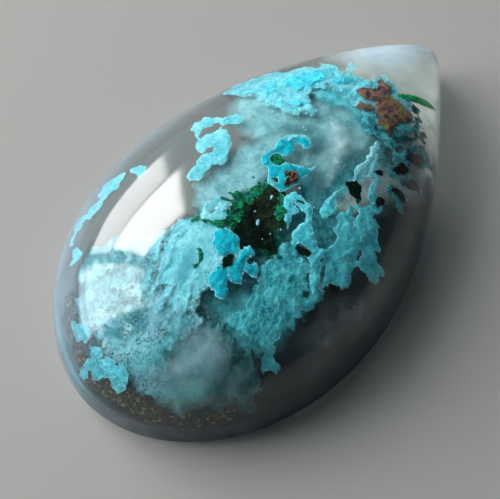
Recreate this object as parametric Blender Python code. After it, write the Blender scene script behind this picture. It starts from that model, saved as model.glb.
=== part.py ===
"""Pear-shaped cabochon of chalcedony with chrysocolla: one polished stone.

The stone lies on its flat ground base with the tip towards +X. Its outline is a pear curve, a
bevel and a narrow upright girdle run round the foot, and a high dome rises from the girdle to
its summit over the belly. Everything is in metres, +Z up, with the origin at the middle of the
base.
"""

import math

import bmesh
import bpy
from mathutils import Matrix

MM = 0.001

# Driving dimensions.
LENGTH = 36.0 * MM
WIDTH = 21.8 * MM
DOME_HEIGHT = 8.4 * MM
GIRDLE_HEIGHT = 1.2 * MM  # with the bevel
BEVEL = 0.45 * MM  # up the girdle and in along the base

# The pear outline: how far the sides draw in to the tip, how blunt the tip stays, and how much
# fuller the half towards the tip is.
TIP_TAPER = 1.15
TIP_BLUNTNESS = 0.035
TIP_HALF_FULLNESS = 0.20

# The dome's ridge runs from end to end and is highest over the belly, behind the middle.
SUMMIT_ALONG = -0.2  # as a share of the half length
RIDGE_TOP_POWER = 2.4
RIDGE_END_POWER = 2.2

# Each section across the dome is a superellipse standing on the girdle.
SECTION_TOP_POWER = 2.2
SECTION_FOOT_POWER = 2.4

STATIONS = 56  # sections from the belly's end to the tip
SECTION_STEPS = 40  # from one side of the girdle over the dome to the other

CHALCEDONY_COLOUR = (0.30, 0.55, 0.56, 1.0)


def clear_scene():
    """Removes whatever the opening file holds."""
    for thing in list(bpy.data.objects):
        bpy.data.objects.remove(thing)


def pear_half_width(along):
    """The pear curve's half width, not yet to size, from the belly's end at -1 to the tip at 1."""
    taper = ((1.0 - along) / 2.0 + TIP_BLUNTNESS) ** (TIP_TAPER / 2.0)
    return math.sqrt(1.0 - along * along) * taper * (1.0 + TIP_HALF_FULLNESS * along)


def widest_pear_half_width(steps=2000):
    """The greatest value of the pear curve, by which it is brought to the stone's width."""
    return max(pear_half_width(2.0 * step / steps - 1.0) for step in range(steps + 1))


WIDEST = widest_pear_half_width()


def half_width(along):
    """Half the stone's width at a share of its half length."""
    return WIDTH / 2.0 * pear_half_width(along) / WIDEST


def ridge_height(along):
    """Height of the dome's ridge above the girdle at a share of the half length."""
    end = 1.0 if along > SUMMIT_ALONG else -1.0
    share = (along - SUMMIT_ALONG) / (end - SUMMIT_ALONG)
    return DOME_HEIGHT * (1.0 - share**RIDGE_TOP_POWER) ** (1.0 / RIDGE_END_POWER)


def section_height(across):
    """Height across a section as a share of the ridge's, from -1 on one side to 1 on the other."""
    return (1.0 - abs(across) ** SECTION_TOP_POWER) ** (1.0 / SECTION_FOOT_POWER)


def place_dome(bm):
    """Carries the upper half of a unit sphere with its poles along X onto the dome."""
    for vert in bm.verts:
        along = max(-1.0, min(1.0, vert.co.x))
        radius = math.hypot(vert.co.y, vert.co.z)
        across = max(-1.0, min(1.0, vert.co.y / radius)) if radius > 1e-6 else 0.0
        vert.co = (
            LENGTH / 2.0 * along,
            half_width(along) * across,
            GIRDLE_HEIGHT + ridge_height(along) * section_height(across),
        )


def open_rim(bm):
    """The edges round the open foot."""
    return [edge for edge in bm.edges if edge.is_boundary]


def add_girdle(bm):
    """Extrudes the dome's rim straight down to the base."""
    grown = bmesh.ops.extrude_edge_only(bm, edges=open_rim(bm))["geom"]
    for vert in (item for item in grown if isinstance(item, bmesh.types.BMVert)):
        vert.co.z -= GIRDLE_HEIGHT


def close_base(bm):
    """Fills the rim with the flat base and bevels its edge."""
    rim = open_rim(bm)
    bmesh.ops.contextual_create(bm, geom=rim)
    bmesh.ops.bevel(
        bm,
        geom=rim,
        offset=BEVEL,
        offset_type="OFFSET",
        segments=1,
        profile=0.5,
        affect="EDGES",
        clamp_overlap=False,
    )


def make_material(name, colour, roughness):
    """A plain Principled material for the solid."""
    material = bpy.data.materials.new(name)
    material.use_nodes = True
    shader = material.node_tree.nodes["Principled BSDF"]
    shader.inputs["Base Color"].default_value = colour
    shader.inputs["Roughness"].default_value = roughness
    shader.inputs["Metallic"].default_value = 0.0
    return material


def make_cabochon(collection):
    """The whole stone: dome, girdle, bevel and base in one closed body."""
    bm = bmesh.new()
    bmesh.ops.create_uvsphere(
        bm,
        u_segments=2 * SECTION_STEPS,
        v_segments=STATIONS,
        radius=1.0,
        matrix=Matrix.Rotation(math.pi / 2.0, 4, "Y"),
    )
    below = [vert for vert in bm.verts if vert.co.z < -1e-4]
    bmesh.ops.delete(bm, geom=below, context="VERTS")
    place_dome(bm)
    add_girdle(bm)
    close_base(bm)
    bmesh.ops.recalc_face_normals(bm, faces=bm.faces)

    mesh = bpy.data.meshes.new("cabochon")
    bm.to_mesh(mesh)
    bm.free()
    mesh.shade_smooth()
    mesh.set_sharp_from_angle(angle=math.radians(30.0))
    mesh.materials.append(make_material("chalcedony", CHALCEDONY_COLOUR, 0.08))
    stone = bpy.data.objects.new("cabochon", mesh)
    collection.objects.link(stone)
    return stone


def main():
    clear_scene()
    make_cabochon(bpy.context.scene.collection)


main()
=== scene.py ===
"""A polished chrysocolla cabochon: clear chalcedony with turquoise plumes grown inside it.

The clear stone stands for the CAD solid. What grew inside it is made of sheets. Most of them
follow the dome at some depth, are cut to the outline of a growth and are raised into relief, and
two lie low over the base: a dark one that paints shade and a pale one by the tip that paints
light. Shapes are worked out in millimetres on plan, with x towards the tip and z up, and are
brought to metres in their mesh.
"""

from types import SimpleNamespace

import bpy
import numpy as np
from mathutils import Matrix, Vector


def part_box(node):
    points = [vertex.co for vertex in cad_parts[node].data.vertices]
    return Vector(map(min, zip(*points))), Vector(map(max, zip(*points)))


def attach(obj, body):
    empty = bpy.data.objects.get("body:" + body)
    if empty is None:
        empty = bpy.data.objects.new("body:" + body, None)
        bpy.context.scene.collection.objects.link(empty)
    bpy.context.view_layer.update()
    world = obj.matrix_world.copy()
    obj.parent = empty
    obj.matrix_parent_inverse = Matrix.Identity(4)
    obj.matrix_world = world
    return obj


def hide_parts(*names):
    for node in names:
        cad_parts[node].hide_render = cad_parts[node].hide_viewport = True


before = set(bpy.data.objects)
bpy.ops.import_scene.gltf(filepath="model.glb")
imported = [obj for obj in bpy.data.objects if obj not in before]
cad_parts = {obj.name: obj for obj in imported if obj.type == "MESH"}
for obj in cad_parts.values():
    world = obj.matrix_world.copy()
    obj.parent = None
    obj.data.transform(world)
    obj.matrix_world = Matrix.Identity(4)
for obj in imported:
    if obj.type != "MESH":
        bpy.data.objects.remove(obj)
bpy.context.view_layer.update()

MM = 0.001
TINY = 1e-12

# The stone's size comes from the CAD solid, and its form is the same pear and dome.
LOW, HIGH = (np.array(corner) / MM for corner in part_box("cabochon"))
LENGTH, WIDTH, HEIGHT = HIGH - LOW
GIRDLE = 1.2  # with the bevel
BEVEL = 0.45
DOME = HEIGHT - GIRDLE
TIP_TAPER = 1.15
TIP_BLUNTNESS = 0.035
TIP_HALF_FULLNESS = 0.20
SUMMIT_ALONG = -0.2  # as a share of the half length
SUMMIT = np.array([SUMMIT_ALONG * LENGTH / 2, 0.0])
RIDGE_TOP_POWER = 2.4
RIDGE_END_POWER = 2.2
SECTION_TOP_POWER = 2.2
SECTION_FOOT_POWER = 2.4
OUTLINE_STEPS = 320
DOME_STEPS = 90
BASE_SHARES = (0.25, 0.5, 0.75, 0.92, 1.0)  # how far out the rings of the base lie
SHARP_FROM = 30.0  # degrees between two faces

# The lattice of the noise: the cells after which it repeats, and where on it the middle lies.
LATTICE = (97, 89)
LATTICE_START = 1000.0

# Sheets inside the stone.
GROWTH_STEP = 0.06  # between the points of a growth
HAZE_STEP = 0.12
GRAIN_STEP = 0.04
BASE_STEP = 0.2
MARGIN = 0.4  # of the plan grid round a growth
RIM_GAP = 0.05  # between the edge of a growth and the shell it lies on
LOWEST = 0.5  # height above the base, for a growth
FOLD_SEED = 20  # from a growth's seed to the seed of its folds
LEAST_SLOPE = 0.2  # squared, where a corner slides to the outline
FAR_OUTSIDE = -1e3
BASE_HALF = (17.6, 10.8)  # half the length and width of the plan grid over the base
BAND_FOOT = 0.25  # height of the lowest row of a rim band
BAND_TOP_TURN = 0.75  # radians from the summit, where the highest row lies
LEAST_COVER = 0.01  # below which a face of a rim band is left out
WALL_SPAN = (120, 262)  # degrees round the outline, from the tip

# Where a growth's cover is half clear, and the sockets of a Mix node that mix colours.
HALF_CLEAR = 0.47
MIX_SHARE, MIX_LOW, MIX_HIGH, MIX_RESULT = 0, 6, 7, 2

# The floor, and the panes of the window.
FLOOR_HALF = 600.0
FLOOR_DROP = 0.02
PANE_AWAY = 200.0
PANE_WIDTH = 125.0
SHINE_GAP = 4.0

# The viewpoint, and how far right and up of the base's middle it looks.
VIEW_AZIMUTH = -49.8
VIEW_ELEVATION = 60.0
VIEW_REACH = 180.0
VIEW_AIM = (-1.569, -0.784)
VIEW_NEAREST = 10.0
LENS = 186.7
SENSOR = 36.0


# ---------------------------------------------------------------- the form of the stone


def pear_half_width(along):
    """The pear curve: an ellipse's half width times a taper that draws in towards the tip."""
    taper = (np.clip((1 - along) / 2, 0, 1) + TIP_BLUNTNESS) ** (TIP_TAPER / 2)
    return np.sqrt(np.clip(1 - along**2, 0, 1)) * taper * (1 + TIP_HALF_FULLNESS * along)


WIDEST = pear_half_width(np.linspace(-1, 1, 4001)).max()


def half_width(along, inset=0.0):
    """Half the stone's width at a share of its half length, drawn in all round by inset."""
    return (WIDTH / 2 - inset) * pear_half_width(along) / WIDEST


def rim_points(angle, inset=0.0):
    """Plan points of the pear outline, drawn in by inset, at angles counted from the tip."""
    along = np.cos(angle)
    side = half_width(along, inset) * np.sign(np.sin(angle) + TINY)
    return np.stack([(LENGTH / 2 - inset) * along, side], axis=-1)


def dome_height(x, y, depth=0.0):
    """The dome's height over a plan point, for the shell that lies at a depth inside it.

    The ridge falls as a superellipse from the summit to both ends, and each section across it
    is a superellipse as high as the ridge there. Outside the shell's outline it is the girdle.
    """
    along = np.clip(x / (LENGTH / 2 - depth), -1, 1)
    end = np.where(along > SUMMIT_ALONG, 1.0, -1.0)
    share = np.clip((along - SUMMIT_ALONG) / (end - SUMMIT_ALONG), 0, 1)
    ridge = (DOME - depth) * (1 - share**RIDGE_TOP_POWER) ** (1 / RIDGE_END_POWER)
    across = np.clip(np.abs(y) / np.maximum(half_width(along, depth), 1e-6), 0, 1)
    return GIRDLE + ridge * (1 - across**SECTION_TOP_POWER) ** (1 / SECTION_FOOT_POWER)


def inside_outline(x, y, inset):
    """How far inside the girdle a plan point is, in millimetres, measured across the stone."""
    along = np.clip(x / (LENGTH / 2 - inset), -1, 1)
    return half_width(along, inset) - np.abs(y)


# ---------------------------------------------------------------- noise and routes


def ease(value, low, high):
    """A smooth step from 0 at low to 1 at high."""
    share = np.clip((value - low) / (high - low), 0, 1)
    return share * share * (3 - 2 * share)


def value_noise(x, y, size, seed):
    """Random heights from -1 to 1 on a square lattice, joined by a smooth cubic blend."""
    table = np.random.default_rng(seed).uniform(-1, 1, LATTICE)
    u, v = x / size + LATTICE_START, y / size + LATTICE_START
    i, j = np.floor(u).astype(int), np.floor(v).astype(int)
    u, v = ease(u - i, 0, 1), ease(v - j, 0, 1)

    def corner(di, dj):
        return table[(i + di) % LATTICE[0], (j + dj) % LATTICE[1]]

    near = corner(0, 0) * (1 - u) + corner(1, 0) * u
    far = corner(0, 1) * (1 - u) + corner(1, 1) * u
    return near * (1 - v) + far * v


def rough(x, y, size, seed, octaves=4):
    """Fractal noise: each layer half as large and a little over half as strong as the last."""
    total = np.zeros_like(x)
    for octave in range(octaves):
        turn = 0.7 * octave
        u, v = x * np.cos(turn) - y * np.sin(turn), x * np.sin(turn) + y * np.cos(turn)
        total += 0.55**octave * value_noise(u, v, size / 2**octave, seed + octave)
    return total


def smooth_route(points, steps=6, closed=False):
    """A Catmull-Rom curve through a route's points; a closed one comes back to its start."""
    points = np.array(points, dtype=float)
    if len(points) < 3:
        return points
    if closed:
        padded = np.vstack([points[-1], points, points[:2]])
    else:
        padded = np.vstack([2 * points[0] - points[1], points, 2 * points[-1] - points[-2]])
    padded = padded[:, None]
    before, start, end, after = padded[:-3], padded[1:-2], padded[2:-1], padded[3:]
    t = (np.arange(steps) / steps)[:, None]
    curve = 0.5 * (2 * start + (end - before) * t
                   + (2 * before - 5 * start + 4 * end - after) * t**2
                   + (3 * start - before - 3 * end + after) * t**3)
    return np.vstack([curve.reshape(-1, points.shape[1]), points[0] if closed else points[-1]])


def from_leg(x, y, start, end):
    """Each plan point's share along a straight leg of a route, and its distance from the leg."""
    run_x, run_y = end[0] - start[0], end[1] - start[1]
    share = ((x - start[0]) * run_x + (y - start[1]) * run_y) / (run_x**2 + run_y**2 + TINY)
    share = np.clip(share, 0, 1)
    return share, np.hypot(x - start[0] - share * run_x, y - start[1] - share * run_y)


def stroke(x, y, points):
    """How far inside a tapering stroke each plan point lies, in millimetres.

    It is the half width at the nearest place of the route, less the distance to that place.
    """
    route = smooth_route(points)
    if len(route) == 1:
        return route[0, 2] - np.hypot(x - route[0, 0], y - route[0, 1])
    best = np.full_like(x, FAR_OUTSIDE)
    for start, end in zip(route[:-1], route[1:]):
        share, away = from_leg(x, y, start, end)
        best = np.maximum(best, start[2] + (end[2] - start[2]) * share - away)
    return best


def patch(x, y, outline):
    """How far inside a closed outline each plan point lies: its distance, negative outside.

    A point is inside where a line from it to the far right crosses the outline an odd number
    of times.
    """
    route = smooth_route(outline, steps=4, closed=True)
    nearest = np.full_like(x, -FAR_OUTSIDE)
    crossed = np.zeros(x.shape, dtype=bool)
    for start, end in zip(route[:-1], route[1:]):
        nearest = np.minimum(nearest, from_leg(x, y, start, end)[1])
        (x0, y0), (x1, y1) = start, end
        if y0 != y1:
            crossed ^= ((y0 > y) != (y1 > y)) & (x < x0 + (y - y0) * (x1 - x0) / (y1 - y0))
    return np.where(crossed, nearest, -nearest)


def union(x, y, shapes):
    """The most that any of the shapes reaches over each plan point.

    A shape whose rows are pairs is a closed outline, and one whose rows are threes a stroke.
    """
    best = np.full_like(x, FAR_OUTSIDE)
    for rows in shapes:
        reach = patch(x, y, rows) if len(rows[0]) == 2 else stroke(x, y, rows)
        best = np.maximum(best, reach)
    return best


# ---------------------------------------------------------------- meshes


def make_piece(name, points, faces):
    """A smooth-shaded object from points in millimetres, at the origin."""
    mesh = bpy.data.meshes.new(name)
    mesh.from_pydata((points * MM).tolist(), [], faces)
    mesh.shade_smooth()
    piece = bpy.data.objects.new(name, mesh)
    bpy.context.scene.collection.objects.link(piece)
    return piece


def make_sheet(name, x, y, z, faces, values):
    """A piece from the grid points that its faces use, with named values at those points."""
    used, faces = np.unique(faces, return_inverse=True)
    points = np.stack([x, y, z], axis=-1).reshape(-1, 3)[used]
    piece = make_piece(name, points, faces.reshape(-1, 4).tolist())
    for label, block in values.items():
        layer = piece.data.attributes.new(label, "FLOAT", "POINT")
        layer.data.foreach_set("value", block.ravel()[used].astype(np.float32))
    return piece


def grid_faces(rows, columns, closed=False):
    """Quads of a grid of points held row by row, joined round its columns when closed."""
    index = np.arange(rows * columns).reshape(rows, columns)
    if closed:
        index = np.hstack([index, index[:, :1]])
    corners = [index[:-1, :-1], index[:-1, 1:], index[1:, 1:], index[1:, :-1]]
    return np.stack(corners, axis=-1).reshape(-1, 4)


def cut_sheet(name, x, y, z, inside, values):
    """A sheet over a plan grid, kept where inside is above nothing.

    Faces whose mean is outside go, and the corners left just outside slide down the slope of
    inside onto the outline, so that the cut edge is clean.
    """
    faces = grid_faces(*x.shape)
    faces = faces[inside.ravel()[faces].mean(axis=1) > 0]
    step = abs(x[0, 1] - x[0, 0])
    slope_y, slope_x = np.gradient(inside, step)
    steep = np.maximum(slope_x**2 + slope_y**2, LEAST_SLOPE)
    slide = np.maximum(-inside, 0)
    x = x + np.clip(slide * slope_x / steep, -step, step)
    y = y + np.clip(slide * slope_y / steep, -step, step)
    return make_sheet(name, x, y, z, faces, values)


def plan_grid(shapes, step):
    """Plan coordinates covering the shapes and a margin round them, at the given step."""
    rows = np.array([(*row, 0)[:3] for shape in shapes for row in shape], dtype=float)
    low = (rows[:, :2] - rows[:, 2:]).min(axis=0) - MARGIN
    high = (rows[:, :2] + rows[:, 2:]).max(axis=0) + MARGIN
    return np.meshgrid(np.arange(low[0], high[0], step), np.arange(low[1], high[1], step))


def finish_piece(piece, finish):
    """Gives a piece its finish and says what it rides on."""
    piece.data.materials.append(finish.material)
    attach(piece, "root")
    return piece


def growth(name, finish, depth, shapes, gaps=(), frill=0.10, frill_size=0.5, soft=0.12,
           lift=0.45, strength=1.0, crown=0.10, swell=0.3, folds=0.06, fold_size=0.5, seed=1,
           step=GROWTH_STEP):
    """One growth: a sheet at a depth under the dome, cut to the shapes less the gaps.

    Its edge is moved by fractal noise. Over the distance soft its cover rises to full, starting
    outside the shapes by the share lift of that distance, and the sheet itself is rounded up
    over the distance swell and folded.
    """
    x, y = plan_grid(shapes, step)
    inside = union(x, y, shapes)
    if gaps:
        inside = np.minimum(inside, -union(x, y, gaps))
    edge = inside + frill * rough(x, y, frill_size, seed)
    inside = edge + lift * soft
    cover = strength * ease(inside, 0, soft)
    inside = np.minimum(inside, inside_outline(x, y, depth + RIM_GAP))
    rise = np.sqrt(np.clip(inside / swell, 0, 1))
    fold = rough(x, y, fold_size, seed + FOLD_SEED)
    z = np.maximum(dome_height(x, y, depth) + crown * (rise - 1) + folds * fold, LOWEST)
    piece = cut_sheet(name, x, y, z, inside, {"fold": fold, "cover": cover, "edge": edge})
    return finish_piece(piece, finish)


def cloud(name, finish, depth, shapes, soft=1.0, strength=1.0, frill=0.35, seed=1):
    """A haze: a coarse sheet that fades in over a wide edge and follows slow folds."""
    return growth(name, finish, depth, shapes, frill=frill, frill_size=1.4, soft=soft, lift=0,
                  strength=strength, crown=0, folds=0.05, fold_size=2.0, seed=seed, step=HAZE_STEP)


def rim_band(name, finish, depth, measure, span=(0, 360), columns=400, rows=40):
    """A band on the girdle and the foot of the dome, on the shell at a depth.

    It is worked out ring by ring, as the clear stone is, over a span of angles round the
    outline. Its values come from a function of what is known at its points: the plan place, the
    height, the angle, the distance round the outline from the middle of the belly's end, and
    the distance in plan from the rim.
    """
    angle = np.radians(np.linspace(*span, columns))
    rim = rim_points(angle, depth)
    around = np.append(0, np.cumsum(np.hypot(*np.diff(rim, axis=0).T)))
    around = around - np.interp(np.pi, angle, around)
    shares = np.append(1, np.sin(np.linspace(np.pi / 2, BAND_TOP_TURN, rows)))
    plan = SUMMIT + (rim - SUMMIT) * shares[:, None, None]
    x, y = plan[..., 0], plan[..., 1]
    z = dome_height(x, y, depth)
    z[0] = BAND_FOOT
    away = np.hypot(x - rim[:, 0], y - rim[:, 1])
    turn, around = (line + np.zeros_like(x) for line in (np.degrees(angle), around))
    values = measure(SimpleNamespace(x=x, y=y, z=z, turn=turn, around=around, away=away))
    faces = grid_faces(*x.shape)
    faces = faces[values["cover"].ravel()[faces].max(axis=1) > LEAST_COVER]
    return finish_piece(make_sheet(name, x, y, z, faces, values), finish)


def wall_growth(name, finish, depth, shapes, frill=0.10, frill_size=0.5, soft=0.12, lift=0.45,
                strength=1.0, seed=1):
    """A growth on the steep wall of the belly's end.

    Its shapes are drawn with the distance round the outline across and the height upwards.
    """

    def measure(at):
        edge = union(at.around, at.z, shapes) + frill * rough(at.around, at.z, frill_size, seed)
        fold = rough(at.around, at.z, 0.5, seed + FOLD_SEED)
        return {"cover": strength * ease(edge + lift * soft, 0, soft), "edge": edge, "fold": fold}

    return rim_band(name, finish, depth, measure, span=WALL_SPAN, columns=560, rows=90)


# ---------------------------------------------------------------- materials


class Value:
    """The output of a shader node, on which Python arithmetic adds Math nodes."""

    def __init__(self, nodes, socket):
        self.nodes = nodes
        self.socket = socket

    def math(self, operation, *terms):
        """A Math node on this value and another, in the order given."""
        return self.nodes.node("ShaderNodeMath", {"operation": operation}, dict(enumerate(terms)))

    def __add__(self, other):
        return self.math("ADD", self, other)

    def __radd__(self, other):
        return self.math("ADD", other, self)

    def __sub__(self, other):
        return self.math("SUBTRACT", self, other)

    def __rsub__(self, other):
        return self.math("SUBTRACT", other, self)

    def __mul__(self, other):
        return self.math("MULTIPLY", self, other)

    def __rmul__(self, other):
        return self.math("MULTIPLY", other, self)

    def step(self, low, high, start=0.0, end=1.0):
        """A smooth step from start at low to end at high."""
        settings = {"interpolation_type": "SMOOTHSTEP"}
        inputs = {0: self, 1: low, 2: high, 3: start, 4: end}
        return self.nodes.node("ShaderNodeMapRange", settings, inputs)


class Nodes:
    """A node tree being made, for a material or the world."""

    def __init__(self, tree):
        self.tree = tree

    def feed(self, socket, value):
        """Links a value to a socket, or sets the socket to a number or an opaque linear colour."""
        if isinstance(value, Value):
            self.tree.links.new(value.socket, socket)
        else:
            socket.default_value = (*value, 1.0) if socket.type == "RGBA" else value

    def node(self, kind, settings, inputs, output=0):
        """Adds a node: its type, its settings, then the values or links of its sockets."""
        node = self.tree.nodes.new(kind)
        for name, value in settings.items():
            setattr(node, name, value)
        for key, value in inputs.items():
            self.feed(node.inputs[key], value)
        return Value(self, node.outputs[output])


class Finish(Nodes):
    """A material being made: its slot, its node tree and its Principled shader."""

    def __init__(self, name, slot, **values):
        self.slot = slot
        self.material = bpy.data.materials.new(name)
        self.material.use_nodes = True
        super().__init__(self.material.node_tree)
        self.shader = self.tree.nodes["Principled BSDF"]
        self.set(**values)

    def set(self, **values):
        """Sets the shader's sockets, each named in lower case with underscores."""
        for name, value in values.items():
            self.feed(self.shader.inputs[name.replace("_", " ").title().replace("Ior", "IOR")], value)

    def place(self):
        """The point's own place in the object."""
        return self.node("ShaderNodeTexCoord", {}, {}, "Object")

    def attribute(self, name):
        """A value that the piece carries at its points."""
        return self.node("ShaderNodeAttribute", {"attribute_name": name}, {}, "Fac")

    def noise(self, size, detail=3.0, distortion=0.0, stretch=(1, 1, 1)):
        """Noise from 0 to 1 with features of a size in millimetres, drawn out by stretch."""
        place = self.node("ShaderNodeVectorMath", {"operation": "DIVIDE"}, {0: self.place(), 1: stretch})
        inputs = {"Vector": place, "Scale": 1 / (size * MM), "Detail": detail, "Distortion": distortion}
        return self.node("ShaderNodeTexNoise", {}, inputs)

    def cells(self, size):
        """Distance from the nearest of many scattered points, with spacing in millimetres."""
        inputs = {"Vector": self.place(), "Scale": 1 / (size * MM)}
        return self.node("ShaderNodeTexVoronoi", {}, inputs)

    def mix(self, share, low, high):
        """A colour mixed from low to high by share."""
        inputs = {MIX_SHARE: share, MIX_LOW: low, MIX_HIGH: high}
        return self.node("ShaderNodeMix", {"data_type": "RGBA"}, inputs, MIX_RESULT)

    def bump(self, height, distance):
        """A bumped normal from a height of 0 to 1 that stands for a distance in millimetres."""
        return self.node("ShaderNodeBump", {}, {"Height": height, "Distance": distance * MM})


def clear_chalcedony():
    """Clear, faintly sea-green stone with a soft polish.

    Lamps shine straight through its surface to what grew inside.
    """
    finish = Finish("chalcedony", "chalcedony", base_color=(1, 1, 1), roughness=0.10,
                    ior=1.54, transmission_weight=1.0)
    inputs = {"Color": (0.70, 0.84, 0.83), "Density": 35.0}
    absorption = finish.node("ShaderNodeVolumeAbsorption", {}, inputs)
    lamp_ray = finish.node("ShaderNodeLightPath", {}, {}, "Is Shadow Ray")
    passing = finish.node("ShaderNodeBsdfTransparent", {}, {"Color": (0.80, 0.85, 0.85)})
    body = Value(finish, finish.shader.outputs["BSDF"])
    surface = finish.node("ShaderNodeMixShader", {}, {0: lamp_ray, 1: body, 2: passing})
    output = finish.tree.nodes["Material Output"]
    finish.feed(output.inputs["Surface"], surface)
    finish.feed(output.inputs["Volume"], absorption)
    return finish


def ragged(finish, fine, wear=0.9, thin=0.0, fade=0.15):
    """Cover that breaks up into grains of the fine noise where it fades or wears thin.

    It goes from clear to opaque within the share fade above and below the middle.
    """
    cover = finish.attribute("cover") + (fine - 0.5) * wear
    if thin:
        cover = cover + (finish.noise(1.1, 5) - 0.56) * thin
    return cover.step(HALF_CLEAR - fade, HALF_CLEAR + fade)


def chrysocolla(name, deep, bright, rim, mottle_size=0.7, grain=0.45, line=0.4, thin=1.6,
                fade=0.15):
    """Turquoise growth: mottled and finely grained, with a thin paler line along its edges."""
    finish = Finish(name, "chrysocolla", roughness=0.6, specular_ior_level=0.0)
    mottle = finish.noise(mottle_size, 6).step(0.36, 0.64)
    fine = finish.noise(0.15, 5)
    # Mottled tone, and painted light: the tint is lighter on the crests of the folds.
    fold = finish.attribute("fold").step(-0.9, 0.8)
    tint = finish.mix(mottle * 0.6 + fold * 0.4, deep, bright)
    pale = 1 - (finish.attribute("edge") + (fine - 0.5) * 0.14).step(0.03, 0.11)
    tint = finish.mix(fine.step(0.50, 0.72) * grain, tint, rim)
    tint = finish.mix((1 - fine.step(0.30, 0.46)) * 0.6, tint, deep)
    finish.set(base_color=finish.mix(pale * line, tint, rim))
    finish.set(alpha=ragged(finish, fine, 1.1, thin, fade))
    finish.set(normal=finish.bump(fine * 0.7 + mottle * 0.3, 0.07))
    return finish


def mossy_chrysocolla():
    """Granular turquoise: small pale grains with dark and brown specks between them."""
    finish = Finish("mossy_chrysocolla", "chrysocolla", roughness=0.65, specular_ior_level=0.0)
    grain = finish.cells(0.24)
    patches = finish.noise(1.6, 6, 0.5).step(0.36, 0.64)
    fine = finish.noise(0.16, 5)
    tint = finish.mix(patches, (0.045, 0.23, 0.27), (0.20, 0.50, 0.57))
    pale = finish.noise(0.9, 5).step(0.52, 0.64)
    tint = finish.mix(pale * 0.55, tint, (0.40, 0.68, 0.72))
    tint = finish.mix(fine.step(0.52, 0.72) * 0.45, tint, (0.46, 0.66, 0.66))
    tint = finish.mix(grain.step(0.50, 0.85) * 0.5, tint, (0.02, 0.13, 0.16))
    specks = finish.noise(0.17, 2).step(0.555, 0.60) * finish.noise(1.4, 4).step(0.46, 0.56)
    tint = finish.mix(specks * 0.85, tint, (0.025, 0.030, 0.018))
    finish.set(base_color=tint, alpha=ragged(finish, finish.noise(0.4, 5), 1.2))
    finish.set(normal=finish.bump((1 - grain) * 0.35 + fine * 0.65, 0.07))
    return finish


def milk(name, tint, shade, grain=1.1, contrast=0.4):
    """Haze of two tints, drawn by the cover its piece carries and thinned by patches."""
    finish = Finish(name, "milky_chalcedony", roughness=0.8, specular_ior_level=0.0)
    patches = finish.noise(grain, 4)
    share = patches * 0.65 + finish.noise(0.22, 4) * 0.35
    finish.set(base_color=finish.mix(share.step(0.36, 0.62), shade, tint))
    finish.set(alpha=finish.attribute("cover") * ((patches - 0.5) * (2 * contrast) + 0.85))
    return finish


def malachite(name, tint, dark):
    """Green fibrous malachite that breaks up into threads along its edge."""
    finish = Finish(name, "malachite", roughness=0.6, specular_ior_level=0.0)
    fibres = finish.noise(0.18, 4, 0.6)
    share = fibres.step(0.38, 0.62) * finish.noise(0.9, 3).step(0.30, 0.56)
    finish.set(base_color=finish.mix(share, dark, tint))
    finish.set(alpha=ragged(finish, fibres, 1.4), normal=finish.bump(fibres, 0.06))
    return finish


def iron_stain(name, tint, dark, ochre, size=0.4, stretch=(1, 1, 1)):
    """Rusty patch with dark purple-grey and ochre grains of about a size in millimetres."""
    finish = Finish(name, "iron_stain", roughness=0.6, specular_ior_level=0.0)
    grain = finish.noise(size, 5, 0.0, stretch)
    tint = finish.mix(grain.step(0.42, 0.56), dark, tint)
    tint = finish.mix(finish.noise(2.2 * size, 4, 0.0, stretch).step(0.55, 0.65) * 0.8, tint, ochre)
    finish.set(base_color=tint, alpha=ragged(finish, finish.noise(0.16, 3), fade=0.25))
    finish.set(normal=finish.bump(grain, 0.06))
    return finish


def floor_finish():
    """A plain pale matt surface."""
    return Finish("floor", None, base_color=(0.31, 0.305, 0.29), roughness=0.9,
                  specular_ior_level=0.1)


# ---------------------------------------------------------------- the clear stone


def clear_stone():
    """The closed polished body, as rings round the outline.

    Ring by ring it runs from the middle of the base out to the bevel, up the girdle and in over
    the dome to the summit; each ring is the pear outline drawn in towards the summit, and a dome
    ring's height is the dome's own over each of its points.
    """
    rim = rim_points(2 * np.pi * np.arange(OUTLINE_STEPS) / OUTLINE_STEPS)
    outward = (np.roll(rim, -1, axis=0) - np.roll(rim, 1, axis=0))[:, ::-1] * (1, -1)
    foot = rim - BEVEL * (outward / np.linalg.norm(outward, axis=1, keepdims=True))
    levels = [(SUMMIT + (foot - SUMMIT) * share, 0.0) for share in BASE_SHARES]
    levels += [(rim, BEVEL), (rim, GIRDLE)]
    for turn in np.linspace(np.pi / 2, 0, DOME_STEPS)[1:-1]:
        plan = SUMMIT + (rim - SUMMIT) * np.sin(turn)
        levels.append((plan, dome_height(*plan.T)))
    rings = [np.column_stack([plan, np.broadcast_to(z, OUTLINE_STEPS)]) for plan, z in levels]
    points = np.vstack([*rings, [*SUMMIT, 0.0], [*SUMMIT, HEIGHT]])
    base, summit = len(points) - 2, len(points) - 1

    def fan(pole, ring):
        return np.column_stack([np.full_like(ring, pole), ring, np.roll(ring, -1)])

    first = np.arange(OUTLINE_STEPS)
    last = first + (len(rings) - 1) * OUTLINE_STEPS
    fans = np.vstack([fan(base, first)[:, ::-1], fan(summit, last)])
    faces = grid_faces(len(rings), OUTLINE_STEPS, closed=True).tolist() + fans.tolist()
    piece = make_piece("clear_stone", points, faces)
    piece.data.set_sharp_from_angle(angle=np.radians(SHARP_FROM))
    finish_piece(piece, clear_chalcedony())
    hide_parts("cabochon")


# ---------------------------------------------------------------- what grew inside


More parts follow.
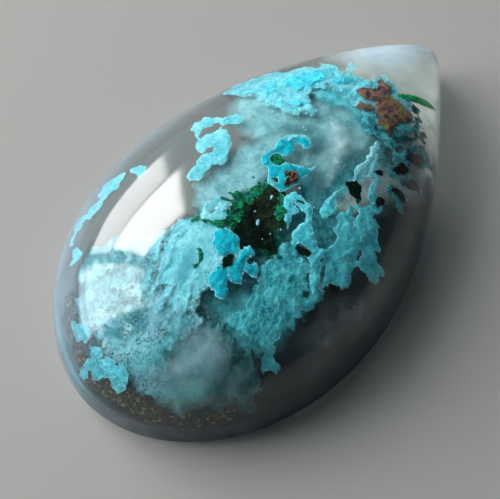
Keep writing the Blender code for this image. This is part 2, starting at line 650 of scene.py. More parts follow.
def petals(finish):
    """Four bright petals round a dark gap, above the middle of the belly."""
    growth("petals", finish, 0.6, [
        [(-6.3, -0.25), (-5.9, -0.2), (-5.5, -0.4), (-5.35, -0.85), (-5.35, -1.4), (-5.45, -1.85),
         (-5.9, -2.1), (-6.2, -2.4), (-6.6, -2.1), (-7.1, -1.6), (-7.05, -0.9)],
        [(-5.45, -2.45), (-5.35, -2.8), (-5.75, -3.1), (-6.2, -3.1), (-6.75, -3.25), (-7.15, -3.5),
         (-7.65, -3.75), (-7.95, -3.5), (-7.95, -3.05), (-7.65, -2.7), (-7.1, -2.45), (-6.5, -2.4),
         (-5.9, -2.35)],
        [(-6.8, -3.3), (-6.1, -3.35), (-6.1, -3.8), (-6.35, -4.2), (-6.75, -4.05)],
        [(-7.6, -2.0), (-7.5, -2.35), (-7.8, -2.8), (-8.2, -3.15), (-8.8, -3.6), (-9.2, -3.5),
         (-9.3, -3.1), (-9.15, -2.35), (-8.8, -2.0), (-8.2, -1.9)],
    ], frill=0.11, frill_size=0.28, soft=0.08, crown=0.2, swell=0.6, seed=3)


def hook_and_star(finish):
    """A hook that curls over at its end and runs down into a three-pointed star."""
    growth("hook_and_star", finish, 0.6, [
        [(-1.15, -0.4), (-0.9, -0.25), (-0.6, -0.2), (-0.25, 0.2), (-0.1, 0.8), (0.3, 1.2), (0.8, 1.2),
         (1.3, 1.1), (2.0, 1.1), (2.7, 1.0), (3.2, 0.55), (3.5, 0.0), (3.35, -0.5), (2.9, -0.7),
         (2.55, -0.5), (2.75, -0.1), (2.6, 0.25), (2.3, 0.0), (1.9, -0.1), (1.45, -0.1), (1.2, 0.2),
         (1.2, 0.5), (0.8, 0.75), (0.4, 0.65), (0.25, 0.25), (0.5, -0.2), (1.0, -0.3), (1.2, -0.7),
         (1.25, -1.1), (1.5, -1.55), (2.1, -1.95), (1.2, -1.95), (0.5, -1.95), (0.0, -1.95),
         (-0.6, -1.7), (-1.1, -1.5), (-0.95, -1.1)],
    ], gaps=[[(-0.6, -0.35, 0.04), (-0.5, -0.6, 0.12), (-0.55, -0.85, 0.05)]],
        frill=0.08, frill_size=0.35, soft=0.08, seed=5)


def pale_crests(pale):
    """Pale crests along the hook's curl and on the star's points."""
    growth("pale_crests", pale, 0.57, [
        [(1.2, 0.85, 0.08), (2.0, 0.85, 0.12), (2.8, 0.7, 0.2), (3.2, 0.2, 0.26), (3.25, -0.35, 0.2),
         (2.9, -0.6, 0.1)],
        [(0.4, -0.45, 0.06), (1.0, -0.6, 0.12), (1.5, -1.3, 0.1), (2.0, -1.85, 0.05)],
        [(-0.85, -0.5, 0.1), (-0.95, -1.1, 0.12), (-0.8, -1.5, 0.08)],
    ], frill=0.1, frill_size=0.3, soft=0.3, lift=0.2, seed=63)


def arch(finish):
    """An arch whose foot spreads out and runs down towards the belly's near side."""
    growth("arch", finish, 0.6, [
        [(-2.75, -3.55), (-2.4, -3.0), (-1.9, -2.6), (-1.5, -2.2), (-1.1, -2.0), (-0.6, -2.1),
         (-0.25, -2.2), (-0.3, -2.55), (-0.3, -3.1), (-0.35, -3.6), (-0.6, -3.95), (-1.0, -4.2),
         (-1.4, -4.6), (-1.75, -5.0), (-2.1, -5.4), (-2.15, -5.8), (-1.9, -6.2), (-2.6, -6.35),
         (-3.2, -6.7), (-4.0, -7.25), (-4.6, -7.5), (-4.85, -7.3), (-4.5, -6.95), (-4.0, -6.5),
         (-3.6, -6.15), (-3.25, -5.8), (-2.85, -5.55), (-2.8, -5.0), (-3.1, -4.7), (-3.3, -4.3),
         (-2.8, -3.95), (-2.2, -3.95), (-1.6, -3.9), (-1.15, -3.7), (-1.0, -3.3), (-1.1, -3.0),
         (-1.35, -3.3), (-1.8, -3.15), (-2.3, -3.4)],
    ], gaps=[[(-0.75, -2.75, 0.02), (-0.6, -3.1, 0.05), (-0.65, -3.4, 0.02)],
             [(-1.1, -2.75, 0.04), (-1.05, -3.1, 0.08)]],
        frill=0.11, frill_size=0.3, soft=0.15, seed=7)
    growth("flake", finish, 0.58, [
        [(-0.5, -4.7), (-0.3, -4.3), (0.1, -4.1), (0.8, -3.95), (1.6, -4.0), (2.35, -4.15),
         (1.7, -4.3), (1.25, -4.4), (1.0, -4.7), (0.5, -4.85), (0.0, -4.85)],
    ], frill=0.07, frill_size=0.3, seed=9)


def side_plume(finish, pale):
    """A spire towards the tip and, below it, a broad ragged curtain on the near side."""
    growth("spire", pale, 0.65, [
        [(2.9, -4.5), (3.5, -4.0), (4.4, -3.7), (5.1, -3.75), (5.8, -3.5), (6.8, -3.4),
         (6.4, -3.8), (5.7, -4.2), (5.3, -4.7), (4.9, -5.2), (4.4, -5.4), (3.9, -5.6),
         (3.8, -5.3), (4.2, -5.0), (4.3, -4.8), (3.9, -4.5), (3.4, -4.4)],
        [(3.75, -4.2, 0.25), (4.1, -4.45, 0.34), (4.45, -4.8, 0.34)],
    ], frill=0.14, frill_size=0.35, soft=0.2, seed=10)
    growth("side_curtain", finish, 0.8, [
        [(-2.4, -6.3), (-1.9, -6.15), (-1.3, -6.1), (-0.8, -5.9), (-0.4, -5.6), (-0.1, -5.3),
         (0.4, -5.05), (1.0, -5.1), (1.6, -5.2), (2.1, -5.4), (2.3, -5.75), (2.9, -5.8), (3.2, -5.5),
         (3.8, -5.2), (3.95, -5.5), (3.8, -6.0), (3.3, -6.5), (2.6, -6.6), (2.35, -6.9),
         (2.2, -7.2), (1.6, -7.6), (1.1, -8.0), (0.7, -8.4), (0.45, -8.9), (-0.0, -9.0),
         (-0.6, -8.9), (-1.0, -8.6), (-1.0, -8.2), (-0.8, -7.9), (-1.4, -8.0), (-2.2, -8.2),
         (-3.0, -8.25), (-3.0, -7.9), (-3.4, -7.7), (-4.1, -7.4), (-3.6, -7.0), (-3.0, -6.7)],
    ], gaps=[[(0.8, -6.1, 0.05), (1.2, -5.95, 0.11), (1.7, -5.7, 0.05)],
             [(0.2, -7.3, 0.02), (-0.4, -7.5, 0.05), (-0.9, -7.8, 0.06)]],
        frill=0.18, frill_size=0.4, soft=0.25, seed=11)


def far_growths(finish):
    """The pale curl, and the thin streak and flakes near the girdle on the far side."""
    growth("curl_plume", finish, 0.6, [
        [(2.2, 4.5), (2.0, 4.1), (1.5, 4.2), (1.15, 4.65), (0.8, 4.9), (0.6, 4.8), (0.6, 4.3),
         (0.2, 3.85), (-0.25, 3.45), (-0.7, 3.3), (-1.2, 2.85), (-1.85, 2.85), (-2.2, 3.3),
         (-2.9, 3.3), (-3.45, 3.15), (-3.9, 3.4), (-4.15, 3.9), (-3.7, 4.2), (-3.0, 4.3),
         (-2.4, 4.45), (-1.85, 4.3), (-1.5, 4.1), (-1.05, 4.15), (-1.05, 4.4), (-1.65, 4.45),
         (-1.9, 4.9), (-1.5, 5.3), (-1.1, 5.65), (-0.9, 6.05), (-0.55, 6.55), (0.0, 6.8),
         (0.45, 6.75), (0.9, 6.55), (1.1, 6.1), (1.45, 5.55), (1.9, 5.05)],
    ], gaps=[[(-0.8, 5.55), (-0.15, 5.85), (0.3, 5.7), (0.8, 5.4), (0.6, 5.15), (0.1, 5.15),
              (-0.45, 5.4)]],
        frill=0.11, frill_size=0.35, soft=0.2, seed=13)
    growth("far_streak", finish, 0.6, [
        [(-8.0, 8.2), (-7.7, 8.6), (-7.0, 8.75), (-6.3, 8.8), (-5.95, 8.4), (-5.5, 8.05),
         (-6.1, 7.75), (-7.0, 7.65), (-7.55, 7.8), (-8.35, 7.6), (-8.75, 7.7), (-9.4, 7.7),
         (-9.6, 7.95), (-10.2, 7.95), (-10.7, 7.85), (-11.2, 7.6), (-11.1, 7.9), (-10.4, 8.2),
         (-9.8, 8.5), (-9.3, 8.6), (-9.0, 8.2), (-8.7, 8.4)],
        [(-5.15, 7.9), (-4.6, 7.5), (-4.6, 7.0), (-5.2, 6.7), (-5.5, 6.9), (-5.35, 7.4)],
        [(-12.6, 6.6), (-12.0, 6.95), (-11.4, 7.2), (-11.5, 6.65), (-11.95, 6.15), (-12.2, 6.3)],
    ], frill=0.12, frill_size=0.4, seed=15)


def tip_plume(finish, bright):
    """The broad bright plume that bends round towards the tip and lies under the iron stain."""
    growth("tip_plume", finish, 0.8, [
        [(3.6, 6.3), (3.6, 7.2), (4.2, 7.5), (5.0, 7.3), (5.8, 6.8), (6.5, 6.3), (7.0, 6.0),
         (7.2, 5.3), (7.6, 4.9), (8.2, 4.6), (8.8, 4.0), (9.4, 3.3), (9.8, 2.6), (9.7, 2.0),
         (10.0, 1.4), (10.2, 0.7), (10.3, 0.2), (10.8, 0.0), (11.4, -0.3), (11.3, -0.8),
         (11.2, -1.6), (11.0, -2.4), (10.7, -3.2), (10.0, -3.7), (9.2, -3.9), (8.2, -3.8),
         (7.4, -3.3), (7.1, -2.6), (7.3, -1.8), (7.6, -1.0), (7.8, -0.2), (8.0, 0.6), (7.9, 1.2),
         (8.0, 1.9), (7.6, 1.6), (7.15, 2.0), (6.75, 1.7), (6.4, 2.2), (6.05, 1.7), (5.8, 1.2),
         (5.35, 0.9), (5.0, 1.35), (5.05, 1.9), (4.6, 1.6), (4.2, 2.1), (4.25, 2.9), (3.9, 3.1),
         (4.0, 3.75), (4.0, 4.4), (4.4, 5.0), (4.0, 5.6)],
        [(10.2, 1.7, 0.12), (10.6, 1.9, 0.22)],
    ], frill=0.24, frill_size=0.5, soft=0.9, folds=0.07, seed=17)
    growth("tip_core", bright, 0.7, [
        [(6.2, 4.3), (7.0, 4.6), (7.8, 4.3), (8.6, 3.7), (9.2, 3.0), (8.6, 2.4), (7.9, 2.0),
         (7.4, 2.4), (6.8, 2.2), (6.4, 2.8), (6.0, 2.6), (5.9, 3.4)],
        [(4.2, 7.0, 0.25), (5.2, 6.7, 0.45), (6.0, 6.1, 0.35), (6.6, 5.6, 0.2)],
        [(4.6, 3.6, 0.15), (5.0, 2.8, 0.35), (5.4, 2.0, 0.3)],
        [(8.7, 1.5, 0.3), (9.5, 1.0, 0.4), (9.6, 0.4, 0.2)],
        [(4.3, 4.3, 0.15), (5.2, 4.6, 0.3), (6.2, 4.7, 0.3)],
    ], frill=0.3, frill_size=0.6, soft=0.6, lift=0.2, folds=0.1, seed=18)


def lower_plume(finish):
    """The broad hazy plume on the near side of the belly, with lobes that hang from its edge."""
    growth("lower_plume", finish, 0.95, [
        [(-2.5, -4.0), (-3.2, -4.05), (-3.7, -3.8), (-4.3, -4.1), (-5.0, -3.9), (-5.8, -3.9),
         (-6.6, -4.3), (-7.2, -4.3), (-7.9, -4.6), (-8.8, -4.6), (-9.7, -4.3), (-10.2, -4.45),
         (-10.1, -4.8), (-9.9, -5.2), (-9.85, -5.9), (-10.0, -6.6), (-9.55, -6.75), (-9.5, -7.0),
         (-9.6, -7.25), (-10.2, -7.45), (-10.05, -7.8), (-9.55, -8.2), (-9.2, -8.1), (-9.25, -7.7),
         (-8.9, -7.45), (-8.2, -7.4), (-7.6, -7.4), (-7.4, -7.6), (-7.6, -8.0), (-7.5, -8.45),
         (-7.3, -8.3), (-7.3, -7.9), (-7.0, -7.7), (-6.6, -7.5), (-6.1, -8.0), (-6.1, -7.7),
         (-5.6, -7.8), (-5.1, -7.6), (-4.6, -7.7), (-4.1, -7.4), (-3.4, -6.8), (-2.6, -6.3),
         (-2.2, -5.9), (-2.2, -5.2)],
    ], gaps=[[(-3.5, -5.0), (-3.2, -4.9), (-2.95, -5.0), (-2.95, -5.4), (-3.3, -5.75), (-3.5, -5.6)],
             [(-3.7, -6.2, 0.1), (-4.1, -6.35, 0.2), (-4.6, -6.75, 0.1), (-5.1, -7.0, 0.04)]],
        frill=0.19, frill_size=0.5, soft=0.4, folds=0.07, seed=19)


def belly_growths(mossy, pale):
    """The granular mass that fills the belly's end, and the paler sheets beside the hollow."""
    growth("moss_mass", mossy, 0.95, [
        [(-14.6, 4.6), (-13.6, 5.1), (-12.4, 5.8), (-11.0, 5.9), (-9.8, 5.0), (-9.0, 3.4),
         (-7.6, 2.5), (-6.6, 2.2), (-6.0, 1.2), (-6.2, 0.0), (-6.8, -0.8), (-7.6, -1.7),
         (-8.6, -2.2), (-9.6, -2.0), (-10.6, -2.6), (-11.3, -3.2), (-12.2, -3.0), (-13.2, -2.9),
         (-14.2, -2.8), (-15.4, -3.0), (-16.0, -2.6), (-16.1, -1.6), (-16.0, -0.6), (-16.1, 0.4),
         (-15.7, 1.6), (-15.3, 2.6), (-15.0, 3.8)],
    ], frill=0.35, frill_size=0.9, soft=0.9, lift=0.3, folds=0.07, seed=21)
    growth("belly_sheet", pale, 0.8, [
        [(-11.2, -2.2), (-11.6, -1.6), (-11.3, -1.0), (-10.6, -0.4), (-10.9, 0.3), (-10.2, 0.7),
         (-9.9, 1.2), (-8.8, 1.7), (-7.0, 2.0), (-6.2, 1.4), (-6.0, 0.3), (-6.1, -0.3),
         (-6.8, -0.9), (-7.2, -1.6), (-7.9, -2.0), (-8.8, -1.9), (-9.1, -2.25), (-10.0, -2.2),
         (-10.6, -2.4)],
        [(-7.4, 0.6), (-6.2, 1.2), (-5.5, 0.4), (-5.4, -0.8), (-5.7, -2.2), (-6.8, -2.7),
         (-8.2, -2.9), (-8.8, -2.2), (-8.4, -1.2)],
    ], frill=0.26, frill_size=0.7, soft=0.8, folds=0.05, fold_size=0.9, seed=23)
    growth("belly_flow", pale, 0.72, [
        [(-7.0, 1.5, 0.1), (-8.0, 1.5, 0.22), (-9.0, 1.2, 0.26), (-10.4, 0.6, 0.2), (-11.6, 0.4, 0.06)],
        [(-7.8, 2.5, 0.08), (-8.8, 2.2, 0.2), (-9.9, 1.7, 0.26), (-11.2, 1.2, 0.2), (-12.4, 0.9, 0.05)],
        [(-9.2, -1.2, 0.2), (-10.4, -1.5, 0.3), (-11.4, -1.9, 0.26), (-12.3, -2.5, 0.1)],
        [(-10.2, -0.3, 0.15), (-11.2, -0.5, 0.24), (-12.4, -0.7, 0.18), (-13.4, -0.9, 0.05)],
    ], frill=0.16, frill_size=0.5, soft=0.6, lift=0.35, strength=0.8, seed=58)
    growth("pale_tuft", pale, 0.7, [
        [(-6.0, 1.0), (-5.6, 1.5), (-4.9, 1.75), (-4.4, 1.6), (-3.9, 1.1), (-3.95, 0.4),
         (-4.4, 0.1), (-5.1, 0.1), (-5.6, 0.5)],
    ], gaps=[[(-5.3, 1.2, 0.02), (-4.9, 0.9, 0.08), (-4.6, 0.95, 0.03)]],
        frill=0.14, frill_size=0.3, soft=0.4, seed=24)


def turquoise_hazes(deep):
    """The hazes that tint the stone below the growths, and the painted shade over the belly's sheet and
    under the hook.
    """
    cloud("deep_growth", deep, 1.7, [
        [(-12.0, -3.0, 1.6), (-8.0, -4.0, 3.2), (-3.0, -4.3, 3.2), (2.0, -3.6, 2.6), (7.0, -2.5, 2.0)],
        [(-2.0, -6.0, 2.0), (2.0, -5.2, 1.6), (6.0, -3.2, 1.2), (8.5, -3.0, 1.6)],
        [(-12.0, 0.5, 2.5), (-9.0, 0.5, 2.0), (-4.0, 0.5, 1.8), (0.0, -0.5, 1.5)],
    ], soft=1.3, strength=1.25, seed=31)
    belly = milk("belly_turquoise", (0.20, 0.48, 0.54), (0.07, 0.28, 0.33), 1.2, 0.5)
    cloud("belly_haze", belly, 1.3, [
        [(-16.0, 3.0), (-14.6, 4.4), (-12.4, 5.2), (-10.6, 4.6), (-9.0, 3.0), (-7.0, 2.0),
         (-6.0, 0.4), (-7.4, -1.6), (-9.6, -2.4), (-11.6, -3.4), (-13.6, -3.4), (-15.8, -3.0),
         (-16.4, -1.0), (-16.6, 1.2)],
    ], soft=1.2, seed=32)
    sheet = milk("sheet_turquoise", (0.12, 0.44, 0.52), (0.06, 0.32, 0.40), 0.7, 0.5)
    # A darker patch over the belly's sheet: painted shade of a fold.
    cloud("sheet_shade", sheet, 0.74, [
        [(-10.4, -0.5), (-9.6, -1.1), (-8.6, -0.9), (-7.8, -0.4), (-7.5, 0.2), (-8.0, 0.7), (-8.8, 0.7),
         (-9.8, 0.3)],
    ], soft=0.9, strength=0.9, frill=0.4, seed=57)
    plume = milk("plume_turquoise", (0.12, 0.52, 0.58), (0.03, 0.27, 0.32), 0.8, 0.4)
    cloud("plume_haze", plume, 1.15, [
        [(-3.4, -4.2), (-4.4, -3.6), (-5.6, -3.4), (-6.9, -3.9), (-8.4, -4.2), (-10.4, -4.0),
         (-11.0, -5.0), (-10.8, -6.6), (-9.6, -7.8), (-7.6, -7.8), (-5.6, -7.4), (-4.0, -6.6),
         (-3.2, -5.6)],
    ], soft=0.8, frill=0.3, seed=36)
    pale = milk("milky_turquoise", (0.28, 0.54, 0.57), (0.13, 0.35, 0.39), 0.8, 0.4)
    cloud("middle_haze", pale, 1.2, [
        [(-5.6, 0.8), (-5.4, 2.2), (-4.4, 3.2), (-3.0, 3.9), (-1.2, 3.9), (0.2, 3.7), (1.2, 3.2),
         (2.1, 2.4), (2.6, 1.4), (2.0, 0.6), (1.0, 0.1), (0.0, -0.5), (-1.3, -0.7), (-2.8, -0.3),
         (-4.4, -0.2)],
    ], soft=1.1, strength=1.1, frill=0.4, seed=33)
    cloud("tip_middle", plume, 1.0, [
        [(6.6, 2.4), (7.6, 2.3), (9.0, 2.2), (9.9, 1.4), (10.0, 0.4), (9.3, -0.2), (9.2, -1.6),
         (8.8, -2.8), (8.0, -3.4), (6.9, -3.0), (6.5, -1.8), (6.9, -0.6), (6.5, 0.8)],
    ], soft=0.9, seed=38)
    veil = milk("sea_green_veil", (0.26, 0.52, 0.54), (0.12, 0.34, 0.37), 1.0, 0.4)
    cloud("tip_veil", veil, 1.4, [
        [(2.4, 5.8), (3.6, 6.8), (4.8, 6.6), (6.2, 5.6), (7.8, 4.4), (9.0, 2.6), (9.2, 1.2),
         (8.8, 0.0), (8.4, -1.4), (8.2, -3.4), (6.4, -4.0), (4.6, -3.8), (3.0, -3.6),
         (1.6, -3.0), (1.0, -1.4), (0.2, -0.2), (0.0, 1.0), (0.4, 2.2), (0.6, 3.2), (1.4, 5.0)],
    ], soft=1.4, strength=1.15, frill=0.4, seed=34)
    shade = milk("hook_shade", (0.10, 0.25, 0.27), (0.05, 0.16, 0.18), 1.2, 0.4)
    cloud("hook_shade", shade, 1.2, [
        [(2.0, 2.2, 0.3), (3.2, 1.8, 0.8), (3.9, 0.8, 0.9), (3.6, -0.8, 0.9), (2.4, -1.2, 0.7),
         (1.6, -2.6, 0.9), (-0.2, -3.6, 0.6)],
    ], soft=0.9, strength=0.75, frill=0.3, seed=40)


def clouds(deep):
    """The milky, grey and brown clouds and wisps, with a shade and a dim growth of moss."""
    white = milk("milky_cloud", (0.30, 0.49, 0.54), (0.18, 0.37, 0.43), 2.4, 0.3)
    cloud("belly_cloud", white, 0.72, [
        [(-16.2, -2.0), (-14.6, -1.9), (-13.2, -2.3), (-12.0, -2.9), (-11.0, -3.3), (-10.5, -4.4),
         (-11.0, -6.0), (-12.4, -6.6), (-14.0, -6.1), (-15.4, -4.6)],
        [(-12.6, -6.8, 0.8), (-11.0, -7.2, 0.8), (-9.4, -7.8, 0.4)],
    ], soft=2.0, strength=1.1, frill=0.5, seed=35)
    blue_grey = milk("blue_grey_haze", (0.28, 0.50, 0.58), (0.16, 0.36, 0.44), 0.6, 0.5)
    cloud("blue_grey_haze", blue_grey, 0.71, [
        [(-10.8, -1.4, 0.3), (-11.8, -2.0, 0.6), (-12.6, -2.7, 0.5)],
        [(-11.8, -0.2, 0.4), (-12.8, -0.8, 0.6), (-13.6, -1.4, 0.4)],
        [(-10.4, 2.6, 0.4), (-11.4, 2.3, 0.5)],
    ], soft=0.9, strength=0.9, frill=0.3, seed=73)
    cloud("moss_shade", deep, 0.7, [
        [(-15.4, -1.0, 0.7), (-14.6, -1.9, 1.0), (-13.4, -2.4, 0.9), (-12.0, -2.4, 0.6)],
    ], soft=1.1, strength=0.5, frill=0.3, seed=55)
    dim = chrysocolla("dim_moss", (0.012, 0.075, 0.08), (0.06, 0.26, 0.27),
                      (0.16, 0.26, 0.20), mottle_size=0.5)
    growth("dim_moss", dim, 1.15, [
        [(-12.6, -5.6), (-11.4, -5.4), (-10.4, -5.6), (-10.1, -6.6), (-10.4, -7.8), (-11.4, -7.8),
         (-12.8, -7.2), (-13.8, -6.4)],
        [(-12.0, -2.6), (-11.0, -2.4), (-10.2, -2.8), (-9.9, -4.4), (-10.4, -5.4), (-11.3, -4.8),
         (-11.7, -3.6)],
    ], frill=0.4, frill_size=0.6, soft=0.9, lift=0.5, folds=0.1, seed=54)
    wisp = milk("white_wisp", (0.52, 0.70, 0.73), (0.32, 0.52, 0.56), 0.8, 0.5)
    cloud("tip_wisp", wisp, 0.95, [
        [(6.1, 0.5, 0.4), (5.6, -0.4, 0.8), (4.9, -1.6, 1.1), (3.8, -2.2, 0.8), (2.6, -2.9, 0.6),
         (1.5, -3.3, 0.3)],
        [(4.5, 0.2, 0.3), (5.2, -0.5, 0.7)],
        [(5.5, -2.8, 0.3), (4.9, -1.9, 0.7)],
    ], soft=1.3, strength=1.25, seed=37)
    grey = milk("grey_haze", (0.62, 0.68, 0.66), (0.46, 0.54, 0.53), 1.5, 0.3)
    cloud("grey_haze", grey, 1.5, [
        [(1.5, -4.8, 0.8), (3.5, -5.3, 1.5), (5.5, -5.4, 1.6), (7.0, -6.2, 1.0)],
        [(9.5, -4.8, 0.7), (11.5, -3.4, 0.6)],
    ], soft=1.5, strength=1.15, seed=39)
    brown = milk("brown_haze", (0.20, 0.21, 0.20), (0.10, 0.11, 0.105), 1.2, 0.5)
    cloud("near_haze", brown, 1.4, [
        [(-6.4, -8.4, 0.7), (-4.2, -8.6, 1.1), (-1.8, -9.0, 1.1), (1.5, -8.8, 0.8), (4.6, -7.8, 0.5)],
    ], soft=1.3, strength=0.9, seed=56)
    pale_grey = milk("edge_wisp", (0.34, 0.39, 0.40), (0.20, 0.25, 0.26), 0.9, 0.5)
    cloud("edge_wisp", pale_grey, 1.25, [
        [(-7.4, -8.2, 0.3), (-6.4, -8.5, 0.6), (-5.3, -8.7, 0.7), (-3.7, -8.8, 0.6), (-1.9, -9.0, 0.3)],
        [(-5.2, -7.9, 0.2), (-4.2, -8.2, 0.5), (-3.0, -8.5, 0.4)],
    ], soft=1.2, strength=0.6, seed=61)


def base_layers():
    """A dark sheet of painted shade low in the stone, and a pale sheet of painted light over it by the
    tip.

    Both lie nearly flat. The painted shade is thick on the near side and thins out towards the tip,
    where the painted light fades in.
    """
    x, y = np.meshgrid(*(np.arange(-half, half, BASE_STEP) for half in BASE_HALF))
    z = 0.55 + 0.15 * rough(x, y, 2.5, 41)
    near_side = ease(0.15 * x - y, -2.5, 4.5)
    cover = (0.05 + 1.3 * near_side) * (1 - 0.55 * ease(x, 2.0, 9.0)) * (1 - 0.85 * ease(x, 9.5, 12.5))
    # A dark sheet that paints shade, thickest on the near side.
    painted_shade = milk("painted_shade_base", (0.022, 0.028, 0.026), (0.006, 0.009, 0.008), 2.0, 0.2)
    piece = cut_sheet("painted_shade_floor", x, y, z, inside_outline(x, y, 0.5), {"cover": cover})
    finish_piece(piece, painted_shade)
    # A pale sheet by the tip that paints light, brightening the tip from below.
    cover = 0.65 * ease(x, 9.0, 11.5) * (1 - 0.5 * ease(x, 14.0, 17.0))
    pale = milk("painted_light_base", (0.94, 0.92, 0.82), (0.83, 0.82, 0.73), 2.0, 0.3)
    piece = cut_sheet("painted_light_tip_layer", x, y, z + 0.5, inside_outline(x, y, 0.9), {"cover": cover})
    finish_piece(piece, pale)


def rim_hazes():
    """What lies all along the rim: a milky band, a bluish tip, a dusky end and painted shade on the near
    wall.
    """

    def milky(at):
        far = ease(0.9 * at.y - 0.1 * at.x, 1.5, 6.0)
        band = (1 - ease(at.away, 0.2, 3.0)) * (0.06 + 0.30 * far)
        return {"cover": band * (1 - ease(at.away, 2.5, 4.5))}

    def bluish(at):
        return {"cover": 0.42 * ease(at.x, 9.5, 13.0) * ease(0.3 * at.x + at.y, 1.5, 5.0)}

    def dusky(at):
        belly_end = ease(at.turn, 160, 176) * (1 - ease(at.turn, 210, 262))
        return {"cover": 1.2 * belly_end * (1 - ease(at.z, 1.6, 2.5))}

    # Painted shade on the near wall: thickest low down, fading round towards the tip.
    def near_wall_shade(at):
        near = ease(at.turn, 180, 205) * (1 - 0.6 * ease(at.turn, 245, 290))
        near = near * (1 - ease(at.turn, 315, 345))
        return {"cover": 0.55 * near * (1 - ease(at.z, 1.8, 4.2))}

    milky_rim = milk("milky_rim", (0.38, 0.52, 0.64), (0.27, 0.38, 0.48), 2.5, 0.3)
    rim_band("milky_rim", milky_rim, 0.25, milky)
    bluish_tip = milk("bluish_tip", (0.64, 0.84, 1.00), (0.46, 0.66, 0.88), 3.0, 0.3)
    rim_band("bluish_tip", bluish_tip, 0.3, bluish)
    dusky_rim = milk("dusky_rim", (0.10, 0.13, 0.145), (0.06, 0.08, 0.09), 1.5, 0.3)
    rim_band("dusky_rim", dusky_rim, 0.3, dusky)
    # A dark band low on the near wall that paints shade.
    painted_shade_wall = milk("painted_shade_wall", (0.030, 0.038, 0.036), (0.012, 0.017, 0.016), 2.0, 0.2)
    rim_band("painted_shade_wall", painted_shade_wall, 0.9, near_wall_shade)


def wall_growths(mossy):
    """On the belly end's wall: the moss's edge, bright lobes, a cloud's foot and olive grains."""
    wall_growth("wall_moss", mossy, 0.92, [
        [(-5.8, 4.9), (-4.7, 5.0), (-3.0, 5.0), (-2.1, 5.1), (0.0, 5.2), (1.4, 4.8), (2.0, 4.3),
         (2.7, 3.7), (3.3, 4.0), (3.9, 3.8), (4.4, 3.5), (4.8, 4.4), (4.2, 5.4), (3.0, 6.2),
         (0.0, 6.4), (-5.0, 6.2)],
    ], frill=0.25, frill_size=0.7, soft=0.5, seed=61)
    lobes = chrysocolla("lobed_chrysocolla", (0.015, 0.24, 0.30), (0.09, 0.56, 0.66),
                        (0.40, 0.76, 0.80), mottle_size=0.45, grain=0.6, thin=1.2)
    wall_growth("edge_lobes", lobes, 0.5, [
        [(-4.6, 4.7), (-4.2, 5.1), (-3.6, 5.5), (-2.8, 5.6), (-2.5, 5.3), (-2.5, 4.8), (-3.0, 4.6),
         (-3.5, 4.5), (-4.2, 4.5)],
        [(-2.2, 4.9), (-1.7, 5.3), (-1.0, 5.4), (-0.7, 5.1), (-1.0, 4.85), (-1.7, 4.65)],
        [(-1.9, 2.5), (-2.0, 3.1), (-2.0, 3.9), (-1.7, 4.4), (-0.9, 4.9), (0.0, 5.3), (1.0, 5.4),
         (1.6, 5.0), (1.6, 4.4), (1.2, 3.9), (0.6, 3.9), (0.3, 4.2), (-0.1, 3.8), (-0.7, 3.6),
         (-1.1, 3.7), (-1.3, 3.2), (-1.5, 2.7)],
    ], frill=0.22, frill_size=0.4, soft=0.2, seed=62)
    foot = milk("cloud_foot", (0.26, 0.62, 0.60), (0.14, 0.44, 0.44), 1.2, 0.3)
    wall_growth("cloud_foot", foot, 0.75, [
        [(3.6, 4.4), (4.3, 3.4), (5.2, 2.9), (5.8, 3.2), (6.6, 3.6), (7.4, 4.0), (8.2, 4.8),
         (7.6, 6.4), (5.0, 6.6), (3.8, 5.6)],
    ], frill=0.35, frill_size=0.8, soft=1.9, lift=0.15, seed=63)
    olive = iron_stain("olive_grains", (0.060, 0.054, 0.028), (0.003, 0.005, 0.003),
                       (0.24, 0.21, 0.085), size=0.13, stretch=(1, 1, 1.3))
    wall_growth("olive_grains", olive, 0.62, [
        [(-6.3, 4.7), (-5.0, 5.0), (-4.0, 4.7), (-2.6, 4.7), (-1.8, 4.4), (-1.0, 4.3), (0.3, 4.5),
         (1.4, 4.6), (2.4, 4.3), (3.2, 4.0), (4.3, 3.5), (5.4, 3.1), (6.5, 3.0), (8.0, 3.2),
         (9.5, 3.2), (9.0, 2.2), (6.5, 1.5), (4.7, 1.7), (3.4, 2.1), (2.3, 2.4), (1.3, 2.7),
         (0.0, 2.6), (-1.5, 2.7), (-2.2, 2.8), (-2.9, 3.0), (-3.1, 3.3), (-3.9, 3.8), (-5.2, 4.2)],
    ], frill=0.45, frill_size=0.5, soft=0.4, strength=1.2, seed=64)


